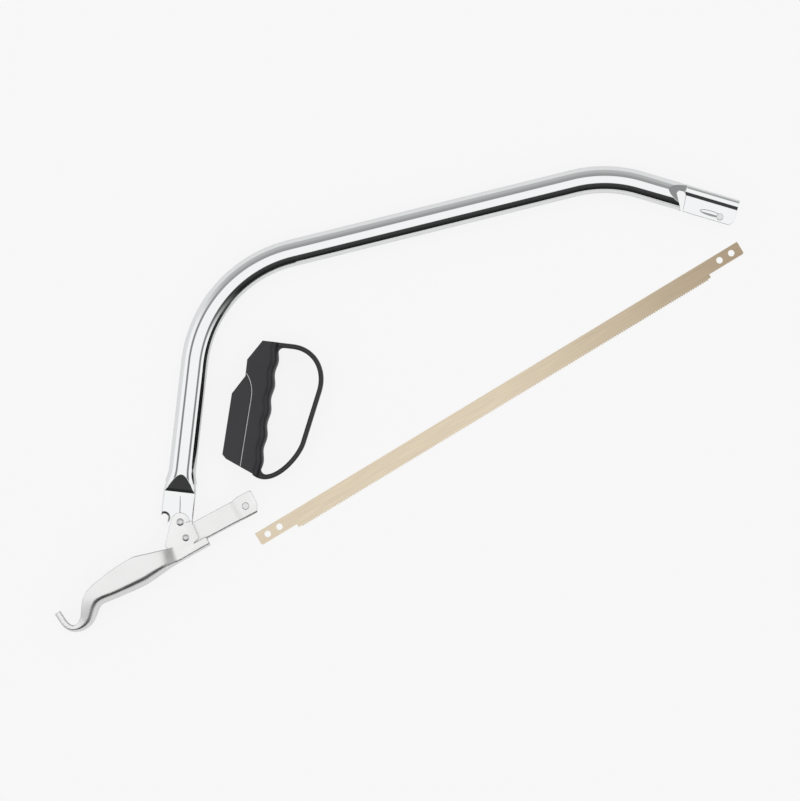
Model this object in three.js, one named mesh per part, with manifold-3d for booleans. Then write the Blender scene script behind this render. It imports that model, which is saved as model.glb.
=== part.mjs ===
// Bow meat saw, taken apart and laid flat: a bent tube bow with its tension lever and arm,
// a loose toothed blade and a loose clip-on handle. Millimetres, +Z up, the table at z = 0.
// The bow lies in its own plane, and that plane is parallel to the table.
import * as THREE from 'three';
import { mergeVertices } from 'three/addons/utils/BufferGeometryUtils.js';
import Module from 'manifold-3d';

const wasm = await Module();
wasm.setup();
const degrees = Math.PI / 180;

// Bow tube: a leg down to the lever's pivot, a long top run between corners, and a nose
const tubeDiameter = 25.4;
const tubeWall = 1.5;
const bendRadius = 120;
const legLength = 234.5;
const topLength = 391.2;
const nosePlain = 23.9;
const legLean = 6.5 * degrees;
const topRise = 13.9 * degrees;
const noseDrop = 16.5 * degrees;

// Running and seating clearances
const runningGap = 0.3;
const holeClearance = 0.25;
const seatClearance = 0.4;

// Fork: the lower end of the leg, pressed flat and slit into two tongues
const forkWidth = 33;
const forkGap = 10;
const forkScoop = 17;
const scoopFoot = 3;
const scoopStep = 2;
const flareLength = 22;
const tongueReach = 28;
const slitReach = 37;
const tongueEndRadius = 12;
const tongueShoulder = 2;
const pivotOffset = 3.7;

// Nose: the front end, pressed into a narrow hood with two cheeks that take the blade
const hoodLength = 51.5;
const hoodPressLength = 19;
const hoodPressSkew = 45.5 * degrees;
const hoodCrownRadius = 4.4;
const hoodWaistDepth = 9.6;
const hoodLap = 0.5;
const cheekPlay = 1.6;
const notchRadius = 4.5;
const notchRise = 1.5;
const notchAhead = 1.3;
const notchMouth = 1.5;
const noseCutBack = 3.5;
const noseCutHeight = 4.5;
const frontPegSetback = 13.8;
const frontPegEdge = 4.9;

// Tension lever and arm
const leverSheet = 1.5;
const leverReach = 117.2;
const crankAngle = -70.6 * degrees;
const closingTurn = 125.6 * degrees;
const cheekEndRadius = 9;
const lipRise = 1.2;
const lipLap = 0.6;
const armSheet = 1.5;
const armLength = 63.7;
const armAngle = 28 * degrees;
const armAbove = 9.75;
const armBelow = 10.65;
const armFoldBulge = 2.5;
const armTailRadius = 9;
const armTipReach = 11;
const armTipRise = 1.6;
const armTipCorner = 4;
const armSidePlay = 0.8;
const armEndPlay = 1;
const joggleLength = 7;
const joggleSetback = 6;

// Rivets and pegs
const pivotRivetRadius = 2.5;
const armRivetRadius = 2.2;
const rivetHeadLip = 1.1;
const rivetHeadHeight = 1.5;
const spacerWall = 1.1;
const bladePegRadius = 2.7;
const pegHeadLip = 0.6;
const pegHeadHeight = 0.8;

// Blade
const bladeLength = 533;
const bladeThickness = 0.8;
const bladeWidth = 17.5;
const tangWidth = 12.8;
const tangLength = 38.5;
const tangCorner = 1.2;
const bladeHolePlay = 0.4;
const bladeHoleMargin = 10.2;
const bladeHoleSpacing = 13;
const toothPitch = 2.54;
const toothDepth = 1.4;
const toothLean = 0.76;
const toothlessEnd = 2;

// Handle, measured from the leg's axis and up the leg from the lever's pivot
const saddleWall = 1.7;
const saddleWrap = 9.8;
const gripAbovePivot = 185;
const gripLength = 117.3;
const gripDepth = 17.9;
const gripRound = 10;
const gripTaper = 0.035;
const footSlope = 0.466;
const fingerPitch = 24;
const fingerDepth = 0.9;
const firstFinger = 41.5;
const guardReach = 76.3;
const guardRoot = 20;
const guardThickness = 4.7;
const guardWidth = 18;

// Where the loose pieces lie on the table: the bow's leg corner, the blade's middle,
// and how far the handle lies from its seat on the leg
const bowPlace = new THREE.Vector2(-185.3, 117.4);
const bladePlace = new THREE.Vector2(93.1, 5.2);
const bladeAngle = 31.2 * degrees;
const handleAway = new THREE.Vector2(44.9, -11.4);

// Sizes that follow from the ones above
const tubeRadius = tubeDiameter / 2;
const forkHalf = forkGap / 2 + tubeWall;
const leverNeckInner = forkHalf + runningGap;
const leverNeckHalf = leverNeckInner + leverSheet;
const saddleHalf = tubeRadius + runningGap + saddleWall;
const leverHalf = saddleHalf + runningGap + leverSheet;
const gripHalf = leverHalf;
const midHeight = leverHalf;
const spacerRadius = armRivetRadius + spacerWall;
const crankLength = tongueEndRadius + seatClearance + spacerRadius;
const armHalf = forkGap / 2 - armSidePlay;
const armEndGap = bladeThickness + armEndPlay;
const armEndHalf = armEndGap / 2 + armSheet;
const cheekGap = bladeThickness + cheekPlay;
const cheekHalf = cheekGap / 2 + tubeWall;
const pegHeadRadius = bladePegRadius + pegHeadLip;
const bladeHoleRadius = bladePegRadius + bladeHolePlay;
const frontPegDrop = tubeRadius - frontPegEdge;
const crownHeight = tubeRadius - hoodCrownRadius;
const waistHeight = tubeRadius - hoodWaistDepth;
const flatStart = legLength - tongueReach;

// Directions in the plane of the bow
const legDown = new THREE.Vector2(-Math.sin(legLean), -Math.cos(legLean));
const legRight = new THREE.Vector2(Math.cos(legLean), -Math.sin(legLean));
const topAlong = new THREE.Vector2(Math.cos(topRise), Math.sin(topRise));
const pivotPlace = legDown.clone().multiplyScalar(legLength).addScaledVector(legRight, pivotOffset);
const noseCorner = topAlong.clone().multiplyScalar(topLength);
const noseAlong = new THREE.Vector2(Math.cos(noseDrop), -Math.sin(noseDrop));
const noseUnder = new THREE.Vector2(-Math.sin(noseDrop), -Math.cos(noseDrop));
const crankEnd = new THREE.Vector2(Math.cos(crankAngle), Math.sin(crankAngle)).multiplyScalar(crankLength);

const finishes = {
  chrome: { color: 0xd9dbdd, roughness: 0.08, metalness: 1 },
  zinc: { color: 0xd2d3d4, roughness: 0.3, metalness: 1 },
  rivet: { color: 0xb4b5b7, roughness: 0.35, metalness: 1 },
  blade: { color: 0xcabb9f, roughness: 0.4, metalness: 0.8 },
  plastic: { color: 0x38373b, roughness: 0.55, metalness: 0 },
};

// Solids from geometries, and meshes from solids
function solidFrom(positions, indices) {
  const vertProperties = new Float32Array(positions);
  const triVerts = new Uint32Array(indices);
  return new wasm.Manifold(new wasm.Mesh({ numProp: 3, vertProperties, triVerts }));
}

function solidOf(geometry) {
  geometry.deleteAttribute('normal');
  geometry.deleteAttribute('uv');
  const merged = mergeVertices(geometry, 1e-4);
  return solidFrom(merged.attributes.position.array, merged.index.array);
}

function meshOf(name, solid, finish) {
  const { vertProperties, triVerts } = solid.getMesh();
  const geometry = new THREE.BufferGeometry();
  geometry.setAttribute('position', new THREE.BufferAttribute(vertProperties, 3));
  geometry.setIndex(new THREE.BufferAttribute(triVerts, 1));
  const mesh = new THREE.Mesh(geometry, new THREE.MeshStandardMaterial(finishes[finish]));
  mesh.name = name;
  return mesh;
}

// A flat outline, in the plane of the bow, raised from one height to another
function plate(outline, low, high) {
  const geometry = new THREE.ExtrudeGeometry(outline, {
    depth: high - low, bevelEnabled: false, curveSegments: 10,
  });
  return solidOf(geometry.translate(0, 0, low));
}

function polygon(corners) {
  return new THREE.Shape(corners.map(([x, y]) => new THREE.Vector2(x, y)));
}

function disc(x, y, radius) {
  return new THREE.Shape().absarc(x, y, radius, 0, 2 * Math.PI);
}

function lathe(profile, segments = 24) {
  const points = profile.map(([radius, height]) => new THREE.Vector2(radius, height));
  return solidOf(new THREE.LatheGeometry(points, segments).rotateX(Math.PI / 2));
}

// Joins a row of outlines with equal counts of points into one closed solid. Each section has
// its place, and the directions of its outline's two coordinates.
function loft(sections) {
  const count = sections[0].outline.length;
  const positions = sections.flatMap(({ at, across, up, outline }) => outline.flatMap((point) => at.clone()
    .addScaledVector(across, point.x)
    .addScaledVector(up, point.y)
    .toArray()));
  const indices = [];
  for (let ring = 0; ring + 1 < sections.length; ring += 1) {
    for (let corner = 0; corner < count; corner += 1) {
      const near = ring * count + corner;
      const nearNext = ring * count + ((corner + 1) % count);
      indices.push(near, nearNext, nearNext + count);
      indices.push(near, nearNext + count, near + count);
    }
  }
  const last = (sections.length - 1) * count;
  for (const [i, j, k] of THREE.ShapeUtils.triangulateShape(sections[0].outline, [])) {
    indices.push(k, j, i);
  }
  for (const [i, j, k] of THREE.ShapeUtils.triangulateShape(sections.at(-1).outline, [])) {
    indices.push(last + i, last + j, last + k);
  }
  return solidFrom(positions, indices);
}

const vertical = new THREE.Vector3(0, 0, 1);

function inPlane(point) {
  return new THREE.Vector3(point.x, point.y, 0);
}

// Left-hand side of a direction of travel in the plane of the bow
function leftOf(direction) {
  return new THREE.Vector3(-direction.y, direction.x, 0);
}

// The tube's route, from the fork up the leg, over the top and down the nose. A station has
// its place, its direction of travel, and how far it lies past the leg's and nose's corners.
const legBendTurn = Math.PI / 2 - legLean - topRise;
const noseBendTurn = topRise + noseDrop;
const legTangent = bendRadius * Math.tan(legBendTurn / 2);
const noseTangent = bendRadius * Math.tan(noseBendTurn / 2);
const hoodStart = noseTangent + nosePlain + hoodPressLength;
const noseLength = hoodStart + hoodLength;

function legStation(below) {
  const at = legDown.clone().multiplyScalar(below);
  return { at, direction: legDown.clone().negate() };
}

function noseStation(beyond) {
  const at = noseCorner.clone().addScaledVector(noseAlong, beyond);
  return { at, direction: noseAlong };
}

function bendStations(start, turn, steps) {
  const right = new THREE.Vector2(start.direction.y, -start.direction.x);
  const centre = start.at.clone().addScaledVector(right, bendRadius);
  return Array.from({ length: steps - 1 }, (_, step) => {
    const angle = -turn * (step + 1) / steps;
    return {
      at: start.at.clone().rotateAround(centre, angle),
      direction: start.direction.clone().rotateAround(new THREE.Vector2(), angle),
    };
  });
}

const legBendSteps = 12;
const noseBendSteps = 6;
const flareSteps = 5;

function bowStations() {
  const topEnd = noseCorner.clone().addScaledVector(topAlong, -noseTangent);
  return [
    legStation(legTangent),
    ...bendStations(legStation(legTangent), legBendTurn, legBendSteps),
    { at: topAlong.clone().multiplyScalar(legTangent), direction: topAlong },
    { at: topEnd, direction: topAlong },
    ...bendStations({ at: topEnd, direction: topAlong }, noseBendTurn, noseBendSteps),
    noseStation(noseTangent),
  ];
}

function sectionAt({ at, direction }, outline) {
  return { at: inPlane(at), across: leftOf(direction), up: vertical, outline };
}

// Tube sections: points run round the tube from its outer side, the same way in every section
const tubeSides = 28;

function ovalOutline(halfAcross, halfUp) {
  return Array.from({ length: tubeSides }, (_, side) => {
    const turn = (2 * Math.PI * side) / tubeSides;
    return new THREE.Vector2(halfAcross * Math.cos(turn), halfUp * Math.sin(turn));
  });
}

// The pressed hood has a narrow round crown and is drawn in below it, at the waist, to two close
// cheeks. Inset is the tube's wall for the inner surface, which runs out through the bottom.
const crownSteps = 5;
const waistSteps = 5;

function hoodOutline(inset) {
  const crown = hoodCrownRadius - inset;
  const near = [];
  for (let step = 1; step <= crownSteps; step += 1) {
    const turn = (Math.PI / 2) * (step / crownSteps);
    near.push(new THREE.Vector2(crownHeight + crown * Math.cos(turn), crown * Math.sin(turn)));
  }
  for (let step = 1; step <= waistSteps; step += 1) {
    const drawn = THREE.MathUtils.smoothstep(step, 0, waistSteps);
    near.push(new THREE.Vector2(
      THREE.MathUtils.lerp(crownHeight, waistHeight, step / waistSteps),
      THREE.MathUtils.lerp(hoodCrownRadius, cheekHalf, drawn) - inset,
    ));
  }
  near.push(new THREE.Vector2(-tubeRadius - inset, cheekHalf - inset));
  const far = near.map(({ x, y }) => new THREE.Vector2(x, -y)).reverse();
  return [new THREE.Vector2(crownHeight + crown, 0), ...near, ...far];
}

// The tube's outer or inner surface as a solid, widened towards the fork, where it is pressed
// flat, and run past the fork's end by the overrun
function tubeLoft(inset, overrun) {
  const round = ovalOutline(tubeRadius - inset, tubeRadius - inset);
  const forkEnd = legLength + tongueEndRadius + runningGap + overrun;
  const flares = Array.from({ length: flareSteps + 1 }, (_, step) => {
    const below = flatStart - flareLength * step / flareSteps;
    const drawn = THREE.MathUtils.smoothstep(step, 0, flareSteps);
    const halfAcross = THREE.MathUtils.lerp(forkWidth / 2, tubeRadius, drawn) - inset;
    return sectionAt(legStation(below), ovalOutline(halfAcross, tubeRadius - inset));
  });
  return loft([
    sectionAt(legStation(forkEnd), ovalOutline(forkWidth / 2 - inset, tubeRadius - inset)),
    ...flares,
    ...bowStations().map((station) => sectionAt(station, round)),
    sectionAt(noseStation(hoodStart - inset), round),
  ]);
}

function hoodLoft(inset, overrun) {
  const ends = [hoodStart - inset - hoodLap, noseLength + overrun];
  return loft(ends.map((beyond) => sectionAt(noseStation(beyond), hoodOutline(inset))));
}

// Cuts for the fork and the nose, drawn with x across or along the tube and then placed
function placed(solid, at, angle) {
  return solid.rotate([0, 0, angle / degrees]).translate([at.x, at.y, 0]);
}

// Farther than any piece reaches from its middle plane, for cuts that go right through
const wellClear = 60;

function through(outline) {
  return plate(outline, -wellClear, wellClear);
}

// The tube's ends are pressed between slanted tools: facets on both sides, which fall from the
// round tube to half the pressed height. A profile has places back along the tube and heights.
function pressCut(profile, inset) {
  const [[x, height], [endX, endHeight]] = profile.slice(-2);
  const slope = (endHeight - height) / (endX - x);
  const inner = profile.map(([place, level]) => [place, level - inset]);
  const outline = [...inner, [endX + (wellClear - endHeight + inset) / slope, wellClear],
    [-wellClear, wellClear], [-wellClear, inner[0][1]]];
  const near = through(polygon(outline)).rotate([90, 0, 0]);
  return near.add(near.mirror([0, 0, 1]));
}

// The fork's facets end in a steeper foot. The hood's are skewed, so that they reach farther
// back over the tube's top than below it.
function pressedTube(inset, overrun) {
  const forkProfile = [[0, forkHalf], [scoopFoot, forkHalf + scoopStep], [forkScoop, tubeRadius]];
  const hoodProfile = [[0, hoodCrownRadius], [hoodPressLength, tubeRadius]];
  const hoodTop = noseStation(hoodStart).at.addScaledVector(noseUnder, -tubeRadius);
  const hoodTurn = Math.PI - noseDrop + hoodPressSkew;
  return tubeLoft(inset, overrun)
    .subtract(placed(pressCut(forkProfile, inset), legStation(flatStart).at, Math.PI / 2 - legLean))
    .subtract(placed(pressCut(hoodProfile, inset), hoodTop, hoodTurn))
    .add(hoodLoft(inset, overrun));
}

// The fork's end is round about the lever's pivot, with a seat at its outer edge for the
// arm's rivet in the closed position
function forkCuts() {
  const seatAngle = crankAngle - closingTurn + legLean;
  const seatX = crankLength * Math.cos(seatAngle);
  const seatY = crankLength * Math.sin(seatAngle);
  const outerCorner = [[-wellClear, seatY], [0, seatY], [0, -wellClear], [-wellClear, -wellClear]];
  const innerCorner = [[0, tongueShoulder], [wellClear, tongueShoulder],
    [wellClear, -wellClear], [0, -wellClear]];
  const trim = through(polygon(outerCorner))
    .add(through(polygon(innerCorner)))
    .add(through(disc(seatX, seatY, spacerRadius + seatClearance)))
    .subtract(plate(disc(0, 0, tongueEndRadius), -2 * wellClear, 2 * wellClear));
  const slitSides = [[-wellClear, -wellClear], [wellClear, -wellClear],
    [wellClear, slitReach], [-wellClear, slitReach]];
  const slit = plate(polygon(slitSides), -forkGap / 2, forkGap / 2);
  const hole = through(disc(0, 0, pivotRivetRadius + holeClearance));
  return placed(trim.add(slit).add(hole), pivotPlace, -legLean);
}

// The nose has a drop-shaped notch behind the hood, open below, a slanted front end and the
// peg's hole in its near cheek
function noseCuts() {
  const below = -tubeRadius - tubeWall;
  const notchFront = hoodStart + notchAhead;
  const notchAt = notchFront - notchRadius;
  const notch = new THREE.Shape()
    .moveTo(notchFront + notchMouth, below)
    .lineTo(notchFront, notchRise)
    .absarc(notchAt, notchRise, notchRadius, 0, Math.PI)
    .lineTo(notchFront, below);
  const cutTop = noseCutHeight - tubeRadius;
  const cutFoot = noseLength + (below - cutTop) * noseCutBack / noseCutHeight;
  const beyond = noseLength + noseCutBack;
  const frontCut = [[noseLength, cutTop], [cutFoot, below], [beyond, below], [beyond, cutTop]];
  const pegHole = disc(noseLength - frontPegSetback, -frontPegDrop, bladePegRadius + holeClearance);
  const cuts = through(notch)
    .add(through(polygon(frontCut)))
    .add(plate(pegHole, 0, wellClear));
  return placed(cuts, noseCorner, -noseDrop);
}

function bowTube() {
  return pressedTube(0, 0)
    .subtract(pressedTube(tubeWall, tubeWall))
    .subtract(forkCuts())
    .subtract(noseCuts());
}

// A headed peg, fixed in the near cheek and reaching across the gap to the far one
function bladePeg(outerFace, farFace) {
  const foot = farFace + runningGap;
  const headBase = outerFace + runningGap;
  return lathe([
    [0, foot],
    [bladePegRadius, foot],
    [bladePegRadius, headBase],
    [pegHeadRadius, headBase],
    [bladePegRadius, headBase + pegHeadHeight],
    [0, headBase + pegHeadHeight],
  ]);
}

// A domed head, drawn from its shank over the dome to the axis
const domeSteps = 4;

function domeProfile(outerFace, shankRadius) {
  const headBase = outerFace + runningGap;
  const dome = Array.from({ length: domeSteps + 1 }, (_, step) => {
    const turn = (Math.PI / 2) * (step / domeSteps);
    const radius = step < domeSteps ? (shankRadius + rivetHeadLip) * Math.cos(turn) : 0;
    return [radius, headBase + rivetHeadHeight * Math.sin(turn)];
  });
  return [[shankRadius, headBase], ...dome];
}

// The lever turns on two short rivets, one through each tongue of the fork
function stubRivet() {
  return lathe([
    [0, forkGap / 2],
    [pivotRivetRadius, forkGap / 2],
    ...domeProfile(leverNeckHalf, pivotRivetRadius),
  ]);
}

// The arm turns on one long rivet, held central between the lever's cheeks by two spacers
function throughRivet() {
  const upper = domeProfile(leverNeckHalf, armRivetRadius);
  const lower = upper.map(([radius, height]) => [radius, -height]).reverse();
  return lathe([...lower, ...upper]);
}

function spacer() {
  const low = armHalf + runningGap;
  const high = leverNeckInner - runningGap;
  const bore = armRivetRadius + holeClearance;
  return lathe([[bore, low], [spacerRadius, low], [spacerRadius, high], [bore, high], [bore, low]]);
}

// A folded sheet channel: the depth of its cheeks to one side of the fold line, the bulge of its
// back to the other, and half its outer width
const backSteps = 8;

function channelOutline({ depth, bulge, half }, sheet) {
  const outer = [];
  const inner = [];
  for (let step = 0; step <= backSteps; step += 1) {
    const turn = Math.PI * step / backSteps;
    outer.push(new THREE.Vector2(-bulge * Math.sin(turn), half * Math.cos(turn)));
    inner.push(new THREE.Vector2((sheet - bulge) * Math.sin(turn), (half - sheet) * Math.cos(turn)));
  }
  return [
    new THREE.Vector2(depth, half), ...outer, new THREE.Vector2(depth, -half),
    new THREE.Vector2(depth, sheet - half), ...inner.reverse(), new THREE.Vector2(depth, half - sheet),
  ];
}

// The lever, drawn open about its pivot, from the hook along the grip and the neck to the foot.
// A station has its place on the fold line, and the depth and bulge of its channel, as shares of
// the lever's reach, and half its width.
function leverStation(xShare, yShare, depthShare, bulgeShare, half) {
  const [x, y, depth, bulge] = [xShare, yShare, depthShare, bulgeShare].map((share) => share * leverReach);
  return { x, y, depth, bulge, half };
}

const leverStations = [
  leverStation(-1, -0.7372, 0.0341, 0.0145, 0.5394 * leverHalf),
  leverStation(-0.9249, -0.8387, 0.0324, 0.0154, 0.5879 * leverHalf),
  leverStation(-0.866, -0.8618, 0.0273, 0.0222, 0.6121 * leverHalf),
  leverStation(-0.8038, -0.8379, 0.0341, 0.0427, 0.6485 * leverHalf),
  leverStation(-0.756, -0.7807, 0.0512, 0.0631, 0.7333 * leverHalf),
  leverStation(-0.6911, -0.6177, 0.0853, 0.0768, 0.9758 * leverHalf),
  leverStation(-0.529, -0.5427, 0.1451, 0.0717, leverHalf),
  leverStation(-0.3242, -0.4394, 0.1672, 0.0819, leverHalf),
  leverStation(-0.1536, -0.3439, 0.1143, 0.0683, 0.8788 * leverHalf),
  leverStation(-0.0128, -0.302, 0.1024, 0.0256, leverNeckHalf),
  leverStation(0.0896, -0.244, 0.0538, 0.0256, leverNeckHalf),
  leverStation(0.2304, -0.1647, 0.052, 0.0256, leverNeckHalf),
];
const leverSteps = 46;

function smoothLine(points) {
  return new THREE.CatmullRomCurve3(points, false, 'centripetal');
}

function leverChannel() {
  const line = smoothLine(leverStations.map(({ x, y }) => new THREE.Vector3(x, y, 0)));
  const forms = leverStations.map(({ depth, bulge, half }) => new THREE.Vector3(depth, bulge, half));
  const form = smoothLine(forms);
  const halves = leverStations.map(({ half }) => half);
  const sections = Array.from({ length: leverSteps + 1 }, (_, step) => {
    const along = step / leverSteps;
    const { x: depth, y: bulge, z } = form.getPoint(along);
    const half = THREE.MathUtils.clamp(z, Math.min(...halves), Math.max(...halves));
    return {
      at: line.getPoint(along),
      across: leftOf(line.getTangent(along)),
      up: vertical,
      outline: channelOutline({ depth, bulge, half }, leverSheet),
    };
  });
  return loft(sections);
}

// The pivot cheeks, and the lip on each that is bent outwards beyond a slanted line
function onLever(xShare, yShare) {
  return [xShare * leverReach, yShare * leverReach];
}

const lipStart = [onLever(0.0341, -0.0068), onLever(0.1041, -0.1758)];
const lipEnd = [onLever(0.0887, 0.0128), onLever(0.151, -0.128)];
const cheekBack = onLever(-0.1246, -0.1928);
const cheekHeel = onLever(-0.0128, -0.2918);
const cheekToe = onLever(0.087, -0.2389);

function pivotCheek() {
  const [lipTop, lipFoot] = lipStart;
  return new THREE.Shape()
    .moveTo(...cheekBack)
    .lineTo(-cheekEndRadius, 0)
    .absarc(0, 0, cheekEndRadius, Math.PI, 0, true)
    .lineTo(lipTop[0] + lipLap, lipTop[1])
    .lineTo(lipFoot[0] + lipLap, lipFoot[1])
    .lineTo(...cheekToe)
    .lineTo(...cheekHeel);
}

function leverLip() {
  const edge = ([top, foot], rise) => [
    [...top, leverNeckInner + rise], [...foot, leverNeckInner + rise],
    [...foot, leverNeckHalf + rise], [...top, leverNeckHalf + rise],
  ];
  const corners = [...edge(lipStart, 0), ...edge(lipEnd, lipRise)];
  const sides = [0, 5, 1, 0, 4, 5, 1, 6, 2, 1, 5, 6, 2, 7, 3, 2, 6, 7, 3, 4, 0, 3, 7, 4];
  const ends = [0, 1, 2, 0, 2, 3, 4, 6, 5, 4, 7, 6];
  return solidFrom(corners.flat(), [...sides, ...ends]);
}

function tensionLever() {
  const cheek = plate(pivotCheek(), leverNeckInner, leverNeckHalf).add(leverLip());
  return leverChannel()
    .add(cheek)
    .add(cheek.mirror([0, 0, 1]))
    .subtract(through(disc(0, 0, pivotRivetRadius + holeClearance)))
    .subtract(through(disc(crankEnd.x, crankEnd.y, armRivetRadius + holeClearance)));
}

// The arm is a narrow folded channel, open along its upper edge. Past the joggle its leaves lie
// close together and take the blade between them on a peg.
function armChannel() {
  const joggleEnd = armLength - joggleSetback;
  const foldLine = armFoldBulge - armBelow;
  const depth = armAbove + armTipRise - foldLine;
  const wide = { depth, bulge: armFoldBulge, half: armHalf };
  const close = { depth, bulge: armFoldBulge, half: armEndHalf };
  const stations = [
    [-armTailRadius - armSheet, wide],
    [joggleEnd - joggleLength, wide],
    [joggleEnd, close],
    [armLength + armTipReach + armSheet, close],
  ];
  return loft(stations.map(([x, form]) => ({
    at: new THREE.Vector3(x, foldLine, 0),
    across: new THREE.Vector3(0, 1, 0),
    up: vertical,
    outline: channelOutline(form, armSheet),
  })));
}

function armOutline() {
  const tip = armLength + armTipReach;
  const riseEnd = armLength - joggleSetback / 2;
  return new THREE.Shape()
    .moveTo(0, -armBelow)
    .lineTo(tip - armTipCorner, -armBelow)
    .lineTo(tip, 2 * armTipCorner - armBelow)
    .lineTo(tip, armAbove)
    .lineTo(tip - armTipRise, armAbove + armTipRise)
    .lineTo(riseEnd, armAbove + armTipRise)
    .lineTo(riseEnd - joggleLength, armAbove)
    .lineTo(armTailRadius, armAbove)
    .lineTo(0, armTailRadius)
    .absarc(0, 0, armTailRadius, Math.PI / 2, 1.5 * Math.PI);
}

function tensionArm() {
  const pegHole = disc(armLength, 0, bladePegRadius + holeClearance);
  return armChannel()
    .intersect(through(armOutline()))
    .subtract(through(disc(0, 0, armRivetRadius + holeClearance)))
    .subtract(plate(pegHole, 0, wellClear));
}

// The blade: a strip with a narrow tang and two holes at each end and raked teeth between
function sawBlade() {
  const end = bladeLength / 2;
  const top = tangWidth / 2;
  const tips = top - bladeWidth;
  const roots = tips + toothDepth;
  const shoulder = end - tangLength;
  const teeth = Math.floor(2 * (shoulder - toothlessEnd) / toothPitch);
  const firstTooth = -teeth * toothPitch / 2;
  const outline = new THREE.Shape()
    .moveTo(-end, top)
    .lineTo(-end, tangCorner - top)
    .lineTo(tangCorner - end, -top)
    .lineTo(-shoulder, -top)
    .lineTo(-shoulder, roots);
  for (let tooth = 0; tooth < teeth; tooth += 1) {
    const root = firstTooth + tooth * toothPitch;
    outline.lineTo(root, roots);
    outline.lineTo(root + toothPitch * toothLean, tips);
  }
  outline
    .lineTo(firstTooth + teeth * toothPitch, roots)
    .lineTo(shoulder, roots)
    .lineTo(shoulder, -top)
    .lineTo(end - tangCorner, -top)
    .lineTo(end, tangCorner - top)
    .lineTo(end, top);
  for (const side of [-1, 1]) {
    for (const inward of [0, bladeHoleSpacing]) {
      outline.holes.push(disc(side * (end - bladeHoleMargin - inward), 0, bladeHoleRadius));
    }
  }
  return plate(outline, 0, bladeThickness);
}

// The handle is drawn on its seat: x across the leg from its axis, y up the leg to its corner.
// Its foot is one slanted line.
const handleTop = gripAbovePivot - legLength;
const gripStep = 3;
const gripArcSteps = 14;
const gripSquareness = 0.8;

// Corners of the grip's side view, with how far each lies below the handle's top
const topBack = 15.8;
const neckBack = 3.4;
const neckDepth = 19.3;
const shoulderDepth = 34.9;
const saddleTopDepth = 52.7;
const saddleTopBack = 7.4;
const heelCut = 3.7;

// Recess for the closed lever: its top edge, its curved corner and its front edge
const recessDepth = 30.5;
const recessCorner = 23;
const recessBack = 2.5;
const recessFront = 11.3;
const recessFootFront = 7;

// Knuckle guard: how far its two curves reach along its straight stretches
const guardTopCurve = 32.2;
const guardSideTop = 41.7;
const guardSideFoot = 25.7;
const guardLean = 9.5;
const guardFootPull = 0.65;

function footAt(x) {
  return handleTop - gripLength - footSlope * x;
}

function fingerSide(y) {
  const middle = handleTop - gripLength / 2;
  const wave = fingerDepth * Math.cos((2 * Math.PI * (y - handleTop + firstFinger)) / fingerPitch);
  return tubeRadius + gripDepth + gripTaper * (y - middle) + wave;
}

function gripOutline(reach) {
  const round = Array.from({ length: gripArcSteps + 1 }, (_, step) => {
    const turn = Math.PI * (step / gripArcSteps - 0.5);
    return new THREE.Vector2(
      reach - gripRound + gripRound * Math.cos(turn),
      gripHalf * Math.sign(turn) * Math.abs(Math.sin(turn)) ** gripSquareness,
    );
  });
  return [new THREE.Vector2(-wellClear, gripHalf), new THREE.Vector2(-wellClear, -gripHalf), ...round];
}

function gripBody() {
  const sections = [];
  for (let y = handleTop + gripStep; y >= footAt(wellClear); y -= gripStep) {
    sections.push({
      at: new THREE.Vector3(0, y, 0),
      across: new THREE.Vector3(1, 0, 0),
      up: vertical,
      outline: gripOutline(fingerSide(y)),
    });
  }
  const heel = heelCut - saddleWrap;
  const side = [
    [topBack, handleTop],
    [wellClear, handleTop],
    [wellClear, footAt(wellClear) + gripStep],
    [heel, footAt(heel)],
    [-saddleWrap, footAt(heel) + heelCut],
    [-saddleTopBack, handleTop - saddleTopDepth],
    [neckBack, handleTop - shoulderDepth],
    [neckBack, handleTop - neckDepth],
  ];
  return loft(sections).intersect(through(polygon(side)));
}

// Shallow recess on both sides for the closed lever's cheeks, with a curved upper edge
function saddleRecess() {
  const top = handleTop - recessDepth;
  const recessMiddle = (recessBack + recessFront) / 2;
  const edge = new THREE.Shape()
    .moveTo(-wellClear, top)
    .lineTo(recessBack, top)
    .bezierCurveTo(recessMiddle, top - recessCorner / 5, recessFront, top - recessCorner / 2,
      recessFront, top - recessCorner)
    .lineTo(recessFootFront, footAt(wellClear))
    .lineTo(-wellClear, footAt(wellClear));
  return plate(edge, saddleHalf, wellClear).add(plate(edge, -wellClear, -saddleHalf));
}

// Knuckle guard: a flat band along a smooth curve, from the grip's top round to its foot
const guardSteps = 44;

function knuckleGuard() {
  const sideTop = new THREE.Vector2(guardReach, handleTop - guardSideTop);
  const sideFoot = new THREE.Vector2(guardReach - guardLean, footAt(0) + guardSideFoot);
  const sideStep = sideFoot.clone().sub(sideTop).normalize();
  const aboveSide = sideTop.clone().addScaledVector(sideStep, -guardSideTop / 2);
  const belowSide = sideFoot.clone().addScaledVector(sideStep, guardSideFoot * guardFootPull);
  const line = new THREE.Path()
    .moveTo(guardRoot, handleTop)
    .lineTo(guardReach - guardTopCurve, handleTop)
    .bezierCurveTo(guardReach - guardTopCurve / 4, handleTop, aboveSide.x, aboveSide.y, sideTop.x, sideTop.y)
    .lineTo(sideFoot.x, sideFoot.y)
    .bezierCurveTo(belowSide.x, belowSide.y, 2 * guardRoot, footAt(3 * guardRoot) + guardThickness,
      guardRoot, footAt(guardRoot));
  const outer = [];
  const inner = [];
  for (let step = 0; step <= guardSteps; step += 1) {
    const point = line.getPoint(step / guardSteps);
    const tangent = line.getTangent(step / guardSteps);
    outer.push(point);
    inner.push(new THREE.Vector2(point.x + tangent.y * guardThickness, point.y - tangent.x * guardThickness));
  }
  return plate(new THREE.Shape([...outer, ...inner.reverse()]), -guardWidth / 2, guardWidth / 2);
}

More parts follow.
